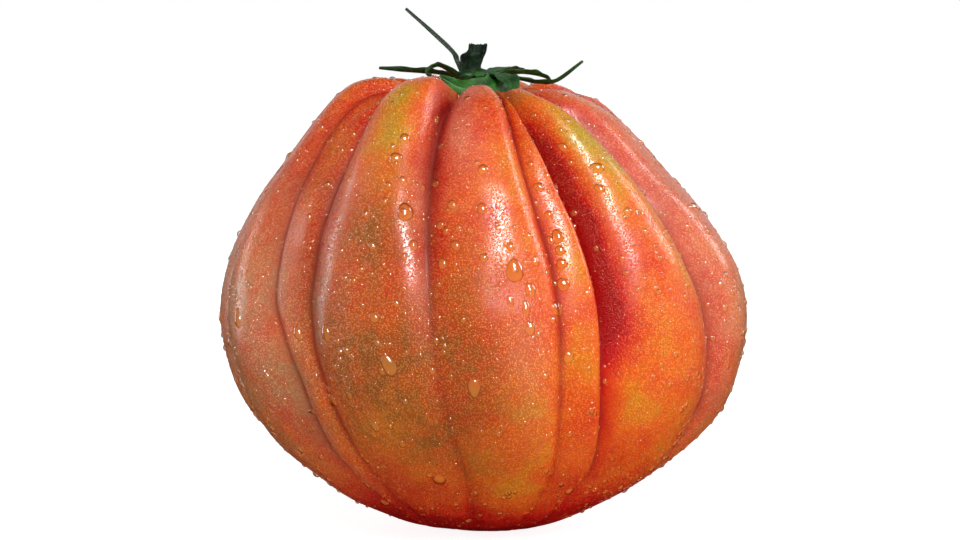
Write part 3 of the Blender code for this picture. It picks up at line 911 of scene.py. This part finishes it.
# A stalk: rings round a path with a radius that runs through the points' own, cut by shallow ridges and
# soft noise, and closed by a ragged, slightly sunk end
def stalkGrid():
    numbers = np.array(stalk["points"])
    places = np.linspace(0, 1, stalk["rows"])
    path, _ = curveThrough(numbers, places)
    angle = np.linspace(0, 2 * math.pi, stalk["columns"], endpoint=False)
    ring = np.stack([np.cos(angle), np.sin(angle), 0 * angle], -1)
    ridges = 1 + 0.045 * np.sin(stalk["ridges"] * angle + 3 * places[:, None])
    grid = path[:, None, :3] + (path[:, 3:] * ridges)[..., None] * ring
    grid += 0.10 * softNoise(grid, 2.2, 31)[..., None] * ring
    inward = np.linspace(0.93, 0.03, stalk["endRows"])[:, None, None]
    end = path[-1, :3] + (grid[-1] - path[-1, :3]) * inward
    ragged = 0.22 * softNoise(end, 0.9, 33) - 0.35 * (1 - inward[..., 0]) ** 0.5 * (inward[..., 0] < 0.9)
    end[..., 2] += ragged
    return np.concatenate([grid, end])


def makeStalkMaterial():
    material, tree, shader = newMaterial("stalkGreen", Specular_IOR_Level=0.15)
    place = node(tree, "ShaderNodeTexCoord").outputs["Object"]
    growth = growthOn(tree, place, stalk["growthScale"])
    colour = mixColours(tree, growth["Share"], (*stalk["dark"], 1), (*stalk["light"], 1))
    colour = mixColours(tree, valueOf(tree, "broken"), colour, (*stalk["broken"], 1))
    tree.links.new(colour, shader.inputs["Base Color"])
    rough = rangeOf(tree, growth["Height"], 0.6, 1.4, 0.5, 0.75)
    tree.links.new(rough, shader.inputs["Roughness"])
    inputs = {"Height": growth["Height"], "Distance": 0.00015, "Strength": 0.7}
    bump = node(tree, "ShaderNodeBump", inputs)
    tree.links.new(bump.outputs["Normal"], shader.inputs["Normal"])
    return material


grid = calyxCentre + stalkGrid() * mm
grid = grid[::-1]  # from the end down, so that the faces point out
stalkPoints, faces = closedTube(grid)
broken = np.zeros(grid.shape[:2])
broken[: stalk["endRows"]] = stalk["brokenShare"]
values = {"broken": np.append(broken, (stalk["brokenShare"], 0))}
stem = addPiece("stalk", stalkPoints, faces, makeStalkMaterial(), values)
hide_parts("stem")
seedHairs(grid, stalk["hairs"], hairRng)

# The disc that the sepals grow from: radius and height in mm, from the middle of its top to its foot
disc = {
    "profile": [
        (0.02, 0.0), (1.6, 0.0), (2.6, -0.15), (3.5, -0.5),
        (3.85, -1.0), (3.6, -1.7), (3.1, -2.6), (2.9, -4.2),
    ],
    "lobes": 9,
    "rows": 40,
    "columns": 72,
    "toneAndPaintedLight": 0.15,
}


# the profile turned about Z, with a shallow lobe under each sepal
def discGrid():
    line, _ = curveThrough(disc["profile"], np.linspace(0, 1, disc["rows"]))
    angle = np.linspace(0, 2 * math.pi, disc["columns"], endpoint=False)
    lobes = 1 + 0.05 * np.cos(disc["lobes"] * angle) * smoothStep(line[:, :1], 1.5, 3.5)
    radius = line[:, :1] * lobes
    x, y = radius * np.cos(angle), radius * np.sin(angle)
    height = line[:, 1:] + 0.12 * softNoise(np.stack([x, y, 0 * x], -1), 2.0, 41)
    return np.stack([x, y, height], -1)


grid = calyxCentre + discGrid() * mm
discPoints, faces = closedTube(grid)
discMaterial = makeLeafMaterial("leafDisc", disc["toneAndPaintedLight"])
plate = addPiece("calyxDisc", discPoints, faces, discMaterial)
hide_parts("calyx_disc")
print("stalk and disc made")

# Fine hairs on the calyx, in mm
hairs = {
    "length": (0.15, 0.42),
    "radius": 0.018,
    "bend": 0.5,  # how far they lean off the normal
    "dark": (0.02, 0.06, 0.02),
    "light": (0.16, 0.26, 0.12),
}


# A hair is a cone on three points, bent off its normal at random
def makeHairs():
    roots, ways = np.concatenate(hairRoots), np.concatenate(hairWays)
    rng = np.random.default_rng(6)
    count = len(roots)
    ways = unit(ways + hairs["bend"] * rng.normal(size=(count, 3)))
    side = unit(np.cross(ways, rng.normal(size=(count, 3))))
    other = np.cross(ways, side)
    low, high = hairs["length"]
    length = rng.uniform(low, high, (count, 1)) * mm
    angle = np.arange(3) * (2 * math.pi / 3)
    foot = roots[:, None] + hairs["radius"] * mm * (
        np.cos(angle)[:, None] * side[:, None] + np.sin(angle)[:, None] * other[:, None]
    )
    tip = roots + length * ways
    points = np.concatenate([foot, tip[:, None]], 1)
    start = (np.arange(count) * 4)[:, None, None]
    faces = np.array([(0, 1, 3), (1, 2, 3), (2, 0, 3), (2, 1, 0)])[None] + start
    material, tree, shader = newMaterial("hair", Roughness=0.5)
    place = node(tree, "ShaderNodeTexCoord").outputs["Object"]
    noise = noiseOn(tree, place, 900.0)
    colour = mixColours(tree, noise, (*hairs["dark"], 1), (*hairs["light"], 1))
    tree.links.new(colour, shader.inputs["Base Color"])
    addPiece("calyxHairs", points.reshape(-1, 3), [faces.reshape(-1, 3)], material)


makeHairs()
print("hairs made")

# The studio: distances in metres, angles in degrees round the tomato from the front towards +X
studio = {
    "lens": 100.0,
    "cameraDistance": 0.468,
    "cameraElevation": 5.0,
    "aim": (-0.0005, 0.0, 0.0448),
    "floorRadius": 4.0,
    # name, azimuth, elevation, distance, width, height, watts, and its part: a fill lights the surfaces
    # and isn't mirrored in them, and a gloss is only mirrored
    "lights": [
        ("key", 13, 42, 0.9, 0.26, 0.60, 6.5, "fill"),
        ("keyGloss", 11, 47, 0.9, 0.22, 0.44, 13.0, "gloss"),
        ("softGloss", 11, 44, 0.9, 0.42, 0.60, 2.2, "gloss"),
        ("rightGloss", 110, 31, 1.0, 0.30, 0.50, 5.0, "gloss"),
        ("leftGloss", -116, 10, 1.0, 0.30, 0.60, 3.0, "gloss"),
        ("frontFill", 30, 12, 1.2, 1.4, 1.0, 5.4, "fill"),
        ("rightFill", 82, 5, 1.0, 0.6, 0.8, 6.5, "fill"),
        ("leftFill", -80, 0, 1.0, 0.6, 0.8, 7.5, "fill"),
    ],
    "floorGlow": 0.32,  # how brightly the floor lights the tomato from below
    "floorSeen": (0.02, 0.22, 0.88, 1.2),  # near and far, and how bright it looks there
}


def aimAt(piece, target):
    piece.rotation_euler = (Vector(target) - piece.location).to_track_quat("-Z", "Y").to_euler()


def around(target, azimuth, elevation, distance):
    turn, tilt = math.radians(azimuth), math.radians(elevation)
    way = Vector((math.sin(turn) * math.cos(tilt), -math.cos(turn) * math.cos(tilt), math.sin(tilt)))
    return Vector(target) + distance * way


def makeCamera():
    data = bpy.data.cameras.new("camera")
    data.lens = studio["lens"]
    camera = bpy.data.objects.new("camera", data)
    bpy.context.scene.collection.objects.link(camera)
    camera.location = around(studio["aim"], 0, studio["cameraElevation"], studio["cameraDistance"])
    aimAt(camera, studio["aim"])
    bpy.context.scene.camera = camera


def makeLights():
    for name, azimuth, elevation, distance, width, height, watts, part in studio["lights"]:
        data = bpy.data.lights.new(name, "AREA")
        data.shape = "RECTANGLE"
        data.size, data.size_y = width, height
        data.energy = watts
        light = bpy.data.objects.new(name, data)
        bpy.context.scene.collection.objects.link(light)
        light.visible_glossy = part != "fill"
        light.visible_diffuse = part != "gloss"
        light.location = around(studio["aim"], azimuth, elevation, distance)
        aimAt(light, studio["aim"])


# white to the camera; as light, bright from behind and above and dim from the front and below
def makeWorld():
    world = bpy.data.worlds.new("studio")
    bpy.context.scene.world = world
    world.use_nodes = True
    tree = world.node_tree
    background = tree.nodes["Background"]
    way = node(tree, "ShaderNodeSeparateXYZ", {0: node(tree, "ShaderNodeTexCoord").outputs["Generated"]})
    behind = rangeOf(tree, way.outputs["Y"], 0.72, 0.98, 0.02, 0.8)
    above = rangeOf(tree, way.outputs["Z"], -0.10, 0.12, 0.0, 1.0)
    strength = calculate(tree, "MULTIPLY", behind, above)
    seen = node(tree, "ShaderNodeLightPath").outputs["Is Camera Ray"]
    strength = calculate(tree, "MAXIMUM", strength, seen)
    background.inputs["Color"].default_value = (1, 1, 1, 1)
    tree.links.new(strength, background.inputs["Strength"])


# a round white floor that looks a little brighter the further it is from the tomato, until it meets the
# white behind
def makeFloor():
    bpy.ops.mesh.primitive_circle_add(vertices=96, radius=studio["floorRadius"], fill_type="NGON")
    floor = bpy.context.object
    floor.name = "floor"
    floor.location.z = -0.0001
    material, tree, shader = newMaterial("floorWhite", Base_Color=(0.5, 0.5, 0.5, 1), Roughness=0.6)
    shader.inputs["Emission Color"].default_value = (1, 1, 1, 1)
    place = node(tree, "ShaderNodeTexCoord").outputs["Object"]
    away = node(tree, "ShaderNodeVectorMath", {0: place}, operation="LENGTH").outputs["Value"]
    seen = node(tree, "ShaderNodeLightPath").outputs["Is Camera Ray"]
    shown = rangeOf(tree, away, *studio["floorSeen"])
    glow = node(tree, "ShaderNodeMix", {0: seen, 2: studio["floorGlow"], 3: shown})
    tree.links.new(glow.outputs[0], shader.inputs["Emission Strength"])
    floor.data.materials.append(material)
    floor.visible_glossy = False


makeCamera()
makeLights()
makeWorld()
makeFloor()
bpy.context.scene.view_settings.view_transform = "Standard"
print("studio made")
